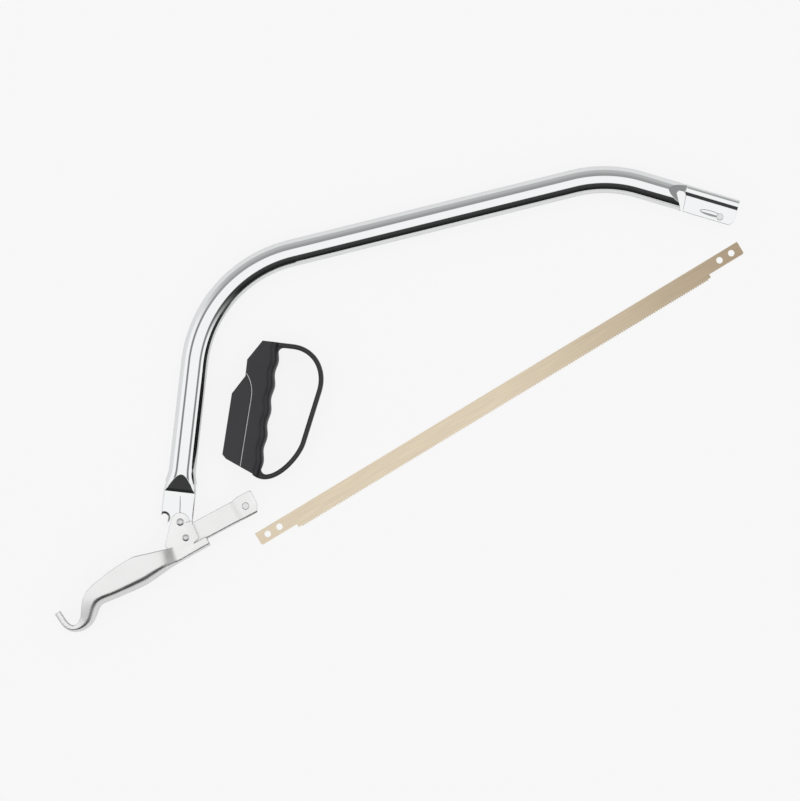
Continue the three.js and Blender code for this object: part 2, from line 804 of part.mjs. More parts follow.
// Channel for the tube: round at its floor, open to the outer side, along the leg and the bend
function tubeChannel() {
  const radius = tubeRadius + runningGap;
  const floor = Array.from({ length: gripArcSteps + 1 }, (_, step) => {
    const turn = Math.PI * (step / gripArcSteps + 0.5);
    return new THREE.Vector2(radius * Math.cos(turn), radius * Math.sin(turn));
  });
  const outline = [new THREE.Vector2(wellClear, -radius), new THREE.Vector2(wellClear, radius), ...floor];
  const stations = [
    legStation(-footAt(wellClear)),
    legStation(legTangent),
    ...bendStations(legStation(legTangent), legBendTurn, legBendSteps).slice(0, legBendSteps / 2),
  ];
  const sweep = loft(stations.map((station) => sectionAt(station, outline)));
  return sweep.rotate([0, 0, legLean / degrees]);
}

function handle() {
  return gripBody()
    .subtract(saddleRecess())
    .add(knuckleGuard())
    .subtract(tubeChannel());
}

// Assembly
const saw = new THREE.Group();

const bow = new THREE.Group();
bow.position.set(bowPlace.x, bowPlace.y, midHeight);
bow.add(meshOf('bow_tube', bowTube(), 'chrome'));
const frontPeg = meshOf('front_blade_peg', bladePeg(cheekHalf, -cheekGap / 2), 'rivet');
const frontPegPlace = noseCorner.clone()
  .addScaledVector(noseAlong, noseLength - frontPegSetback)
  .addScaledVector(noseUnder, frontPegDrop);
frontPeg.position.set(frontPegPlace.x, frontPegPlace.y, 0);
bow.add(frontPeg);
saw.add(bow);

const lever = new THREE.Group();
lever.position.set(pivotPlace.x, pivotPlace.y, 0);
lever.add(meshOf('tension_lever', tensionLever(), 'zinc'));
lever.add(meshOf('lever_pivot_rivet_near', stubRivet(), 'rivet'));
lever.add(meshOf('lever_pivot_rivet_far', stubRivet().mirror([0, 0, 1]), 'rivet'));
bow.add(lever);

const crank = new THREE.Group();
crank.position.set(crankEnd.x, crankEnd.y, 0);
crank.add(meshOf('arm_pivot_rivet', throughRivet(), 'rivet'));
crank.add(meshOf('arm_spacer_near', spacer(), 'rivet'));
crank.add(meshOf('arm_spacer_far', spacer().mirror([0, 0, 1]), 'rivet'));
lever.add(crank);

const arm = new THREE.Group();
arm.rotation.z = armAngle;
arm.add(meshOf('tension_arm', tensionArm(), 'zinc'));
const armPeg = meshOf('arm_blade_peg', bladePeg(armEndHalf, -armEndGap / 2), 'rivet');
armPeg.position.x = armLength;
arm.add(armPeg);
crank.add(arm);

const grip = new THREE.Group();
grip.position.set(bowPlace.x + handleAway.x, bowPlace.y + handleAway.y, midHeight);
grip.rotation.z = -legLean;
grip.add(meshOf('handle', handle(), 'plastic'));
saw.add(grip);

const blade = new THREE.Group();
blade.position.set(bladePlace.x, bladePlace.y, 0);
blade.rotation.z = bladeAngle;
blade.add(meshOf('saw_blade', sawBlade(), 'blade'));
saw.add(blade);

export default saw;
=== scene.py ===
# %% [markdown]
# # A bow meat saw, taken apart on a pale table
# The saw is a bent chromed tube with a tension lever at its foot, a loose toothed blade and a
# loose handle. The solids already have every size and joint, so they are loaded first as a fixed
# frame. Each piece is then modelled again, finer, in the same place, and takes its solid's part.

# %% Load the fixed frame
import math

import bmesh
import bpy
from mathutils import Matrix, Vector


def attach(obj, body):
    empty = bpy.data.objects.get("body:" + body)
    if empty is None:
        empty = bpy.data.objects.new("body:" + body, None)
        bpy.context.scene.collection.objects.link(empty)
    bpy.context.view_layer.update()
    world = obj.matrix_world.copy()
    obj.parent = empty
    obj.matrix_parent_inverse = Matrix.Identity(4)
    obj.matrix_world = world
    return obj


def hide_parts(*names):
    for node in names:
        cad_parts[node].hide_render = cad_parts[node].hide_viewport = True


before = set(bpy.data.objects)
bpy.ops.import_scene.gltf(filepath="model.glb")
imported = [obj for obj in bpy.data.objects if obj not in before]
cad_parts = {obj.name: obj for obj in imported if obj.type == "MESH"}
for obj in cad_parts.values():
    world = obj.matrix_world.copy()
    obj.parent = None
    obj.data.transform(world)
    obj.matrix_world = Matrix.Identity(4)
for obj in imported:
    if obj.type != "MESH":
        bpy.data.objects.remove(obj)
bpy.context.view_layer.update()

# %% [markdown]
# Sizes are in millimetres, as on a workshop drawing. The bow is drawn from the corner where its leg
# and its top run would meet, the handle from the same corner, and other pieces from a pivot or a
# middle of their own. Three groups lie apart, so each has a matrix that lays it on the table.

# %% Main sizes and where the groups lie
tube_radius = 12.7
tube_wall = 1.5
bend_radius = 120
leg_length = 234.5
top_length = 391.2
leg_lean = math.radians(6.5)
top_rise = math.radians(13.9)
nose_drop = math.radians(16.5)
middle_height = 16.5
gap = 0.3
metres = Matrix.Scale(0.001, 4)

up = Vector((0, 0, 1))
leg_down = Vector((-math.sin(leg_lean), -math.cos(leg_lean), 0))
leg_right = Vector((math.cos(leg_lean), -math.sin(leg_lean), 0))
top_along = Vector((math.cos(top_rise), math.sin(top_rise), 0))
nose_along = Vector((math.cos(nose_drop), -math.sin(nose_drop), 0))
nose_under = Vector((-math.sin(nose_drop), -math.cos(nose_drop), 0))
pivot_place = leg_down * leg_length + leg_right * 3.7
nose_corner = top_along * top_length

bow_place = Matrix.Translation((-185.3, 117.4, middle_height))
lever_place = bow_place @ Matrix.Translation(pivot_place)
handle_place = Matrix.Translation((-140.4, 106, middle_height)) @ Matrix.Rotation(-leg_lean, 4, "Z")
blade_place = Matrix.Translation((93.1, 5.2, 0)) @ Matrix.Rotation(math.radians(31.2), 4, "Z")
print("lever pivot at", [round(x, 1) for x in lever_place.translation])

# %% [markdown]
# The photograph looks straight down on the table from far away, so that the far side of a tube
# hides behind the near one and nothing leans outwards. A very long lens gives that. The table
# fills the picture: its height in millimetres sets the distance.

# %% Camera
picture_height = 757.8
lens = 300
camera_data = bpy.data.cameras.new("camera")
camera_data.lens = lens
camera = bpy.data.objects.new("camera", camera_data)
camera.location = (-0.0010, -0.0014, picture_height * 0.001 * lens / camera_data.sensor_width)
bpy.context.collection.objects.link(camera)
bpy.context.scene.camera = camera
bpy.context.scene.view_settings.view_transform = "Standard"
print("camera height", round(camera.location.z, 3), "m")

# %% [markdown]
# Two small helpers serve every material: one turns an sRGB hex value to the linear colour that
# shaders work in, the other adds a node with its settings and links.

# %% Colour and node helpers
def colour(code):
    channels = [int(code[place:place + 2], 16) / 255 for place in (1, 3, 5)]
    return (*(c / 12.92 if c <= 0.04045 else ((c + 0.055) / 1.055) ** 2.4 for c in channels), 1)


def add_node(tree, kind, sockets, **settings):
    made = tree.nodes.new(kind)
    for name, value in settings.items():
        setattr(made, name, value)
    for socket, value in sockets.items():
        if isinstance(value, bpy.types.NodeSocket):
            tree.links.new(value, made.inputs[socket])
        else:
            made.inputs[socket].default_value = value
    return made


def new_material(name):
    material = bpy.data.materials.new(name)
    material.use_nodes = True
    return material, material.node_tree, material.node_tree.nodes["Principled BSDF"]


print("a middle grey reflects", round(colour("#808080")[0], 2), "of the light")

# %% [markdown]
# Chrome shows nothing but its surroundings, so the studio is modelled as a world: a white panel
# overhead, a black wall in front, a grey wall behind, and white side walls with a grey gap below
# the panel. Matt things are lit by a plain soft dome, brightest overhead, which gives a surface that
# faces upwards about as much light as its colour is written for.

# %% World
world = bpy.data.worlds.new("studio")
bpy.context.scene.world = world
world.use_nodes = True
sky = world.node_tree
direction = add_node(sky, "ShaderNodeTexCoord", {}).outputs["Generated"]
axes = add_node(sky, "ShaderNodeSeparateXYZ", {0: direction}).outputs
height = axes["Z"]
square = add_node(sky, "ShaderNodeMath", {0: height, 1: height}, operation="MULTIPLY").outputs[0]
level = add_node(sky, "ShaderNodeMath", {0: 1.0001, 1: square}, operation="SUBTRACT").outputs[0]
reach = add_node(sky, "ShaderNodeMath", {0: level, 1: 0.5}, operation="POWER").outputs[0]
northing = add_node(sky, "ShaderNodeMath", {0: axes["Y"], 1: reach}, operation="DIVIDE").outputs[0]
turn = add_node(sky, "ShaderNodeMath", {0: northing, 1: northing}, operation="MULTIPLY").outputs[0]
edge = add_node(sky, "ShaderNodeMix", {0: turn, 2: 0.77, 3: 0.865}).outputs[0]
past_edge = add_node(sky, "ShaderNodeMath", {0: height, 1: edge}, operation="SUBTRACT").outputs[0]
fades = {  # what each follows, from where to where, and its value there
    "side wall": (height, 0.5, 0.58, 1, 0.25),
    "back wall": (height, 0.25, 0.84, 0.5, 0.32),
    "front wall": (height, 0.1, 0.8, 0.012, 0.05),
    "backwards": (northing, 0.3, 0.75, 0, 1),
    "forwards": (northing, -0.75, -0.25, 1, 0),
    "overhead": (past_edge, -0.02, 0.02, 0, 1),
    "dome": (height, 0, 1, 0.27, 1.31),
}
paper_white = 0.939
limits = ("Value", "From Min", "From Max", "To Min", "To Max")
for name, numbers in fades.items():
    fade = dict(zip(limits, numbers))
    fades[name] = add_node(sky, "ShaderNodeMapRange", fade, interpolation_type="SMOOTHSTEP").outputs[0]
path = add_node(sky, "ShaderNodeLightPath", {}).outputs
seen = fades["side wall"]
layers = (("backwards", fades["back wall"]), ("forwards", fades["front wall"]), ("overhead", 1))
for share, wall in layers:
    seen = add_node(sky, "ShaderNodeMix", {0: fades[share], 2: seen, 3: wall}).outputs[0]
seen = add_node(sky, "ShaderNodeMix", {0: path["Is Glossy Ray"], 2: fades["dome"], 3: seen}).outputs[0]
seen = add_node(sky, "ShaderNodeMix", {0: path["Is Camera Ray"], 2: seen, 3: paper_white}).outputs[0]
sky.nodes["Background"].inputs["Color"].default_value = colour("#ffffff")
sky.links.new(seen, sky.nodes["Background"].inputs["Strength"])
print("world of", len(sky.nodes), "nodes")

# %% [markdown]
# The table is a pale matt sheet, far wider than the picture. Most of what the camera sees of it is
# an even paper white, as in a picture cut out on white. The rest is lit, and keeps a soft shadow.
# Polished metal mirrors some of that white too, and more of the lit card, which greys its edges.

# %% Table
table_material, table_tree, table_shader = new_material("pale_card")
table_shader.inputs["Base Color"].default_value = colour("#dcdcdc")
table_shader.inputs["Roughness"].default_value = 0.9
table_shader.inputs["Specular IOR Level"].default_value = 0
rays = add_node(table_tree, "ShaderNodeLightPath", {}).outputs
paper = {"Color": colour("#f8f8f8"), "Strength": 1.03}
paper = add_node(table_tree, "ShaderNodeEmission", paper).outputs[0]
mirrored = {0: rays["Is Glossy Ray"], 1: rays["Is Transmission Ray"]}
mirrored = add_node(table_tree, "ShaderNodeMath", mirrored, operation="ADD").outputs[0]
mirrored = add_node(table_tree, "ShaderNodeMath", {0: mirrored, 1: 0.3}, operation="MULTIPLY").outputs[0]
share = {0: rays["Is Camera Ray"], 1: 0.88, 2: mirrored}
share = add_node(table_tree, "ShaderNodeMath", share, operation="MULTIPLY_ADD").outputs[0]
card = {0: share, 1: table_shader.outputs[0], 2: paper}
card = add_node(table_tree, "ShaderNodeMixShader", card).outputs[0]
table_tree.links.new(card, table_tree.nodes["Material Output"].inputs["Surface"])
table_size = 4
table_drop = 0.0006
table_mesh = bpy.data.meshes.new("table")
bm = bmesh.new()
bmesh.ops.create_grid(bm, x_segments=2, y_segments=2, size=table_size)
bmesh.ops.translate(bm, verts=bm.verts, vec=(0, 0, -table_drop))
bm.to_mesh(table_mesh)
bm.free()
table_mesh.materials.append(table_material)
table = bpy.data.objects.new("table", table_mesh)
bpy.context.collection.objects.link(table)
print("table of", len(table_mesh.polygons), "faces")

# %% [markdown]
# Chromium plate over polished steel tube: a mirror with a faintly cold tint. Polishing leaves it
# a little uneven, which shows as a very slight change of gloss along the tube. No edge of plated
# metal is perfectly sharp, so the bevel node rounds the shading there.

# %% Chrome
chrome, tree, shader = new_material("chromium_plate")
shader.inputs["Base Color"].default_value = colour("#f2f3f4")
shader.inputs["Metallic"].default_value = 1
spot = add_node(tree, "ShaderNodeTexCoord", {}).outputs["Object"]
cloud = add_node(tree, "ShaderNodeTexNoise", {"Vector": spot, "Scale": 60, "Detail": 3}).outputs[0]
gloss = {"Value": cloud, "From Min": 0.3, "From Max": 0.7, "To Min": 0.02, "To Max": 0.055}
gloss = add_node(tree, "ShaderNodeMapRange", gloss).outputs[0]
tree.links.new(gloss, shader.inputs["Roughness"])
rounded = add_node(tree, "ShaderNodeBevel", {"Radius": 0.0007}, samples=6).outputs[0]
tree.links.new(rounded, shader.inputs["Normal"])
print(chrome.name, len(tree.nodes), "nodes")

# %% [markdown]
# The lever and the arm are folded sheet steel with bright nickel plate over the mill finish: pale,
# satin, and slightly mottled where the sheet was drawn.

# %% Plated sheet
plated, tree, shader = new_material("nickel_plated_sheet")
shader.inputs["Metallic"].default_value = 1
spot = add_node(tree, "ShaderNodeTexCoord", {}).outputs["Object"]
cloud = add_node(tree, "ShaderNodeTexNoise", {"Vector": spot, "Scale": 45, "Detail": 4}).outputs[0]
tone = {0: cloud, 6: colour("#e3e3e2"), 7: colour("#f5f5f5")}
tone = add_node(tree, "ShaderNodeMix", tone, data_type="RGBA").outputs[2]
tree.links.new(tone, shader.inputs["Base Color"])
gloss = {"Value": cloud, "From Min": 0.3, "From Max": 0.7, "To Min": 0.24, "To Max": 0.34}
gloss = add_node(tree, "ShaderNodeMapRange", gloss).outputs[0]
tree.links.new(gloss, shader.inputs["Roughness"])
grain = add_node(tree, "ShaderNodeTexNoise", {"Vector": spot, "Scale": 900, "Detail": 2}).outputs[0]
rounded = add_node(tree, "ShaderNodeBevel", {"Radius": 0.0012}, samples=6).outputs[0]
relief = {"Height": grain, "Strength": 0.05, "Distance": 0.0002, "Normal": rounded}
relief = add_node(tree, "ShaderNodeBump", relief)
tree.links.new(relief.outputs[0], shader.inputs["Normal"])
print(plated.name, len(tree.nodes), "nodes")

# %% [markdown]
# Rivets, spacers and pegs are plain steel, a shade darker and faintly mottled.

# %% Rivet steel
rivet_steel, tree, shader = new_material("riveted_steel")
shader.inputs["Metallic"].default_value = 1
spot = add_node(tree, "ShaderNodeTexCoord", {}).outputs["Object"]
cloud = add_node(tree, "ShaderNodeTexNoise", {"Vector": spot, "Scale": 400, "Detail": 3}).outputs[0]
tone = {0: cloud, 6: colour("#d2d3d4"), 7: colour("#e8e8e8")}
tone = add_node(tree, "ShaderNodeMix", tone, data_type="RGBA").outputs[2]
tree.links.new(tone, shader.inputs["Base Color"])
shader.inputs["Roughness"].default_value = 0.34
rounded = add_node(tree, "ShaderNodeBevel", {"Radius": 0.0006}, samples=6).outputs[0]
tree.links.new(rounded, shader.inputs["Normal"])
print(rivet_steel.name, len(tree.nodes), "nodes")

# %% [markdown]
# The blade is cold-rolled spring steel with a straw-coloured oil film. Rolling draws fine streaks along it,
# about 1 mm apart. From the middle towards one end the colour darkens: painted shade, for light that falls
# off along the blade.

# %% Blade steel
blade_steel, tree, shader = new_material("straw_rolled_steel")
shader.inputs["Metallic"].default_value = 0.85
spot = add_node(tree, "ShaderNodeTexCoord", {}).outputs["Object"]
blade_back = blade_place.inverted()
along = {"Vector": spot, "Location": blade_back.translation * 0.001, "Rotation": blade_back.to_euler()}
along = add_node(tree, "ShaderNodeMapping", along).outputs[0]
streaks = add_node(tree, "ShaderNodeMapping", {"Vector": along, "Scale": (25, 1000, 1)}).outputs[0]
streaks = add_node(tree, "ShaderNodeTexNoise", {"Vector": streaks, "Scale": 1, "Detail": 3}).outputs[0]
# Painted shade: past the middle the straw colour darkens towards the blade's +X end.
length = add_node(tree, "ShaderNodeSeparateXYZ", {0: along}).outputs["X"]
share = {"Value": length, "From Min": 0, "From Max": 0.27, "To Min": 0, "To Max": 1}
share = add_node(tree, "ShaderNodeMapRange", share).outputs[0]
film_and_painted_shade = {0: share, 6: colour("#dfd0b8"), 7: colour("#ae9c82")}
film_and_painted_shade = add_node(tree, "ShaderNodeMix", film_and_painted_shade, data_type="RGBA").outputs[2]
shade = {"Value": streaks, "From Min": 0.3, "From Max": 0.7, "To Min": 0.9, "To Max": 1.06}
shade = add_node(tree, "ShaderNodeMapRange", shade).outputs[0]
film_and_painted_shade = add_node(tree, "ShaderNodeVectorMath", {0: film_and_painted_shade, "Scale": shade}, operation="SCALE").outputs[0]
tree.links.new(film_and_painted_shade, shader.inputs["Base Color"])
shader.inputs["Roughness"].default_value = 0.36
relief = add_node(tree, "ShaderNodeBump", {"Height": streaks, "Strength": 0.1, "Distance": 0.0001})
tree.links.new(relief.outputs[0], shader.inputs["Normal"])
print(blade_steel.name, len(tree.nodes), "nodes")

# %% [markdown]
# The handle is moulded polypropylene in charcoal. The mould was spark-eroded, which leaves a fine
# even grain that softens every highlight. The grain is drawn at 0.5 mm, coarser than the real one,
# so that it shows.

# %% Charcoal plastic
plastic, tree, shader = new_material("charcoal_polypropylene")
spot = add_node(tree, "ShaderNodeTexCoord", {}).outputs["Object"]
cloud = add_node(tree, "ShaderNodeTexNoise", {"Vector": spot, "Scale": 50, "Detail": 4}).outputs[0]
tone = {0: cloud, 6: colour("#1d1c20"), 7: colour("#252428")}
tone = add_node(tree, "ShaderNodeMix", tone, data_type="RGBA").outputs[2]
tree.links.new(tone, shader.inputs["Base Color"])
shader.inputs["Roughness"].default_value = 0.36
shader.inputs["IOR"].default_value = 1.49
grain = add_node(tree, "ShaderNodeTexNoise", {"Vector": spot, "Scale": 2000, "Detail": 1}).outputs[0]
rounded = add_node(tree, "ShaderNodeBevel", {"Radius": 0.0008}, samples=6).outputs[0]
relief = {"Height": grain, "Strength": 0.12, "Distance": 0.0002, "Normal": rounded}
relief = add_node(tree, "ShaderNodeBump", relief)
tree.links.new(relief.outputs[0], shader.inputs["Normal"])
print(plastic.name, len(tree.nodes), "nodes")

# %% [markdown]
# The pale line on the handle is the same plastic in a light grey: a painted highlight where the edge of the
# recess catches the light.

# %% Plastic for a painted highlight
painted_highlight_plastic, tree, shader = new_material("polypropylene_painted_highlight")
spot = add_node(tree, "ShaderNodeTexCoord", {}).outputs["Object"]
cloud = add_node(tree, "ShaderNodeTexNoise", {"Vector": spot, "Scale": 150, "Detail": 3}).outputs[0]
# Light grey tone: a painted highlight along the recess edge, not wear.
tone = {0: cloud, 6: colour("#a9a9ac"), 7: colour("#d6d6d8")}
tone = add_node(tree, "ShaderNodeMix", tone, data_type="RGBA").outputs[2]
tree.links.new(tone, shader.inputs["Base Color"])
shader.inputs["Roughness"].default_value = 0.5
print(painted_highlight_plastic.name, len(tree.nodes), "nodes")

# %% [markdown]
# The bow's route runs up the leg, round a long bend, along the top and round a short bend of the
# same radius into the nose. Towards the fork the tube widens, because pressing it flat spreads it.
# Each stop on the route is a place, a heading and a half width.

# %% Route of the tube
leg_turn = math.pi / 2 - leg_lean - top_rise
nose_turn = top_rise + nose_drop
leg_tangent = bend_radius * math.tan(leg_turn / 2)
nose_tangent = bend_radius * math.tan(nose_turn / 2)
plain_nose = 23.9
hood_press = 19
hood_length = 51.5
hood_start = nose_tangent + plain_nose + hood_press
nose_length = hood_start + hood_length
fork_half_width = 16.5
fork_half = 6.5
tongue_reach = 28
tongue_radius = 12
flat_start = leg_length - tongue_reach
flare_length = 22


def smoothstep(value):
    value = min(max(value, 0), 1)
    return value * value * (3 - 2 * value)


def bend(start, heading, turn, steps):
    centre = start + Vector((heading.y, -heading.x, 0)) * bend_radius
    for step in range(steps + 1):
        swing = Matrix.Rotation(-turn * step / steps, 3, "Z")
        yield centre + swing @ (start - centre), swing @ heading


def leg_width(below):
    share = smoothstep((flat_start - below) / flare_length)
    return fork_half_width + (tube_radius - fork_half_width) * share


def route(inset, overrun):
    lowest = leg_length + tongue_radius + gap + overrun
    flares = [flat_start - flare_length * step / 12 for step in range(13)]
    for below in [lowest, *flares]:
        yield leg_down * below, -leg_down, leg_width(below)
    top_end = nose_corner - top_along * nose_tangent
    for at, heading in bend(leg_down * leg_tangent, -leg_down, leg_turn, 48):
        yield at, heading, tube_radius
    for at, heading in bend(top_end, top_along, nose_turn, 24):
        yield at, heading, tube_radius
    yield nose_corner + nose_along * (hood_start - inset), nose_along, tube_radius


print("nose ends", round(nose_length, 1), "mm past its corner")

# %% [markdown]
# A bent tube is the same round section all the way along. A loft makes it: one ring of points is
# laid and extruded from stop to stop, which keeps its sides running evenly through the bends. The
# inset draws the same tube smaller, for its hollow.

# %% Round tube
tube_sides = 72


def loop_edges(bm, ring):
    return [bm.edges.get(pair) for pair in zip(ring, ring[1:] + ring[:1])]


def loft(sections):
    bm = bmesh.new()
    ring = [bm.verts.new(point) for point in sections[0]]
    for pair in zip(ring, ring[1:] + ring[:1]):
        bm.edges.new(pair)
    bmesh.ops.edgeloop_fill(bm, edges=loop_edges(bm, ring))
    for points in sections[1:]:
        drawn = bmesh.ops.extrude_edge_only(bm, edges=loop_edges(bm, ring))["geom"]
        fresh = {part for part in drawn if isinstance(part, bmesh.types.BMVert)}
        ring = [next(e.other_vert(vert) for e in vert.link_edges if e.other_vert(vert) in fresh)
                for vert in ring]
        for vert, point in zip(ring, points):
            vert.co = point
    bmesh.ops.edgeloop_fill(bm, edges=loop_edges(bm, ring))
    bmesh.ops.recalc_face_normals(bm, faces=bm.faces)
    return bm


def tube_solid(inset, overrun):
    turns = [math.tau * side / tube_sides for side in range(tube_sides)]
    sections = []
    for at, heading, half_width in route(inset, overrun):
        across = Vector((-heading.y, heading.x, 0))
        sections.append([at + across * (half_width - inset) * math.cos(turn)
                         + up * (tube_radius - inset) * math.sin(turn) for turn in turns])
    return loft(sections)


print("round tube of", len(tube_solid(0, 0).faces), "faces")

# %% [markdown]
# The two ends are pressed between slanted tools, so the round tube meets a flat facet there. A
# wedge cut from above and below gives that facet its true rounded outline. The wedge is a plate, an
# outline extruded upwards, that is then stood on its side. At the nose the tool stood askew, so the
# facet reaches farther back along the top.

# %% Pressing tools
fork_profile = [(0, fork_half), (3, fork_half + 2), (17, tube_radius)]  # distance, half height
crown_radius = 4.4
hood_profile = [(0, crown_radius), (hood_press, tube_radius)]
hood_skew = math.radians(45.5)
far = 60


def plate(outline, low, high):
    bm = bmesh.new()
    face = bm.faces.new([bm.verts.new((x, y, low)) for x, y in outline])
    lifted = bmesh.ops.extrude_face_region(bm, geom=[face])["geom"]
    corners = [part for part in lifted if isinstance(part, bmesh.types.BMVert)]
    bmesh.ops.translate(bm, verts=corners, vec=(0, 0, high - low))
    bmesh.ops.recalc_face_normals(bm, faces=bm.faces)
    return bm


def moved(bm, matrix):
    bmesh.ops.transform(bm, matrix=matrix, verts=bm.verts)
    return bm


def press_cut(profile, inset, at, angle, side):
    (x, level), (end_x, end_level) = profile[-2:]
    slope = (end_level - level) / (end_x - x)
    inner = [(place, side * (rise - inset)) for place, rise in profile]
    outline = [*inner, (end_x + (far - end_level + inset) / slope, side * far), (-far, side * far),
               (-far, inner[0][1])]
    stood = Matrix.Rotation(angle, 4, "Z") @ Matrix.Rotation(math.pi / 2, 4, "X")
    return moved(plate(outline, -far, far), Matrix.Translation(at) @ stood)


print("fork pressed over", fork_profile[-1][0], "mm, nose over", hood_press, "mm")

# %% [markdown]
# Past the pressing the nose is a hood, drawn with a narrow crown, a waist and two close cheeks that
# hold the blade between them. Its section stays the same, so it is a loft of two rings. It laps the
# tube a little and stands clear of its edge by a hair, because a boolean can fail where faces coincide.

# %% Hood
shoulder_height = 7
waist_height = 1.6
cheek_half = 2.7
hood_lap = 0.5
hood_ease = 0.05


def hood_half(level, inset):
    crown_level = tube_radius - crown_radius
    if level > crown_level:
        return math.sqrt(max(0, (crown_radius - inset) ** 2 - (level - crown_level) ** 2))
    drawn = smoothstep((shoulder_height - level) / (shoulder_height - waist_height))
    return crown_radius + (cheek_half - crown_radius) * drawn - inset


def hood_solid(inset, overrun):
    top, low = tube_radius - inset, -tube_radius - inset
    crown_low = tube_radius - crown_radius
    turns = [math.pi / 2 * step / 10 for step in range(9, -1, -1)]
    levels = [crown_low + (top - crown_low) * math.sin(turn) for turn in turns]
    levels += [crown_low + (waist_height - crown_low) * step / 16 for step in range(1, 17)]
    levels += [waist_height + (low - waist_height) * step / 8 for step in range(1, 9)]
    near = [(level, hood_half(level, inset)) for level in levels]
    outline = [(top, 0), *near, *((level, -half) for level, half in reversed(near))]
    sections = []
    for end in (hood_start - inset - hood_lap, nose_length + overrun):
        at = nose_corner + nose_along * end
        sections.append([at + nose_under * (hood_ease - level) + up * half for level, half in outline])
    return loft(sections)


print("hood of", len(hood_solid(0, 0).faces), "faces")

# %% [markdown]
# Pressed and drilled metal has crisp edges, and a boolean between two shapes gives them. It can also
# leave edges far shorter than any real one, and merging their ends keeps the next boolean sound. The
# tube is made twice: as the outside, and smaller by the wall as the hollow.

# %% Booleans and the pressed tube
def spare_object(bm):
    mesh = bpy.data.meshes.new("spare")
    bm.to_mesh(mesh)
    bm.free()
    spare = bpy.data.objects.new("spare", mesh)
    bpy.context.collection.objects.link(spare)
    return spare


def joined(first, second, operation, merge=0.002):
    block, tool = spare_object(first), spare_object(second)
    cut = block.modifiers.new("cut", "BOOLEAN")
    cut.object, cut.operation, cut.solver = tool, operation, "EXACT"
    result = bmesh.new()
    result.from_object(block, bpy.context.evaluated_depsgraph_get())
    bmesh.ops.remove_doubles(result, verts=result.verts, dist=merge)
    for spare in (block, tool):
        bpy.data.meshes.remove(spare.data)
    return result


def carved(bm, *cutters):
    for cutter in cutters:
        bm = joined(bm, cutter, "DIFFERENCE")
    return bm


def pressed_tube(inset, overrun):
    fork_at = leg_down * flat_start
    hood_at = nose_corner + nose_along * hood_start - nose_under * tube_radius
    hood_turn = math.pi - nose_drop + hood_skew
    bm = tube_solid(inset, overrun)
    for side in (1, -1):
        bm = carved(bm, press_cut(fork_profile, inset, fork_at, math.pi / 2 - leg_lean, side),
                    press_cut(hood_profile, inset, hood_at, hood_turn, side))
    return joined(bm, hood_solid(inset, overrun), "UNION")


outside = pressed_tube(0, 0)
hollow = pressed_tube(tube_wall, tube_wall)
print("outside of", len(outside.faces), "faces, hollow of", len(hollow.faces))

# %% [markdown]
# The fork is slit, rounded about the lever's pivot and notched for the arm's rivet, which rests
# there when the lever is shut. The notch's edge is eased, and pressing has left a short tapered
# crease in the near tongue. These tools are drawn about the pivot and then moved to it.

# %% Cuts at the fork
crank_angle = math.radians(-70.6)
closing_turn = math.radians(125.6)
crank_length = 15.7
crank_end = Vector((math.cos(crank_angle), math.sin(crank_angle), 0)) * crank_length
tongue_shoulder = 2
seat_radius = 3.7
seat_rim = {"radius": 3.6, "low": 5.4, "high": 6.6, "top_radius": 6.1}
crease_outline = [(-1.7, 9.1), (-0.5, 9.1), (-2.6, 24.3), (-2.9, 24.3)]
crease_floor = 4
slit_half = 5.05
slit_reach = 37
pivot_bore = 2.75


def rod(x, y, radius, low, high, segments=48, top_radius=None):
    bm = bmesh.new()
    middle = Matrix.Translation((x, y, (low + high) / 2))
    bmesh.ops.create_cone(bm, cap_ends=True, segments=segments, radius1=radius,
                          radius2=top_radius or radius, depth=high - low, matrix=middle)
    return bm


def fork_cuts():
    seat = crank_angle - closing_turn + leg_lean
    seat_x, seat_y = crank_length * math.cos(seat), crank_length * math.sin(seat)
    outer = plate([(-far, seat_y), (0, seat_y), (0, -far), (-far, -far)], -far, far)
    inner = [(0, tongue_shoulder), (far, tongue_shoulder), (far, -far), (0, -far)]
    inner = plate(inner, -far, far)
    trim = joined(joined(outer, inner, "UNION"), rod(seat_x, seat_y, seat_radius, -far, far), "UNION")
    trim = carved(trim, rod(0, 0, tongue_radius, -2 * far, 2 * far, 96))
    slit = [(-far, -far), (far, -far), (far, slit_reach), (-far, slit_reach)]
    slit = plate(slit, -slit_half, slit_half)
    hole = rod(0, 0, pivot_bore, -far, far)
    seat_edge = rod(seat_x, seat_y, **seat_rim)
    crease = plate(crease_outline, crease_floor, far)
    place = Matrix.Translation(pivot_place) @ Matrix.Rotation(-leg_lean, 4, "Z")
    return [moved(cut, place) for cut in (trim, slit, hole, seat_edge, crease)]


outside = carved(outside, *fork_cuts())
print("with its fork", len(outside.faces), "faces")

# %% [markdown]
# The nose has a drop-shaped notch behind the hood, a slanted end, a shallow dent and a hole for its
# peg. The dent is a flattened sphere, tilted and sunk into the cheek.

# %% Cuts at the nose
notch_front = hood_start + 1.3
notch_mouth = 1.5
notch_radius = 4.5
notch_rise = 1.5
slant_width = 3.5
slant_height = 4.5
dent_place = (hood_start + 28.3, -7.8, cheek_half + 0.3)
dent_tilt = math.radians(-18)
dent_sizes = (11, 3.4, 1, 1)
peg_radius = 2.7
peg_bore = peg_radius + 0.25
front_peg_along = nose_length - 13.8
front_peg_drop = 7.8


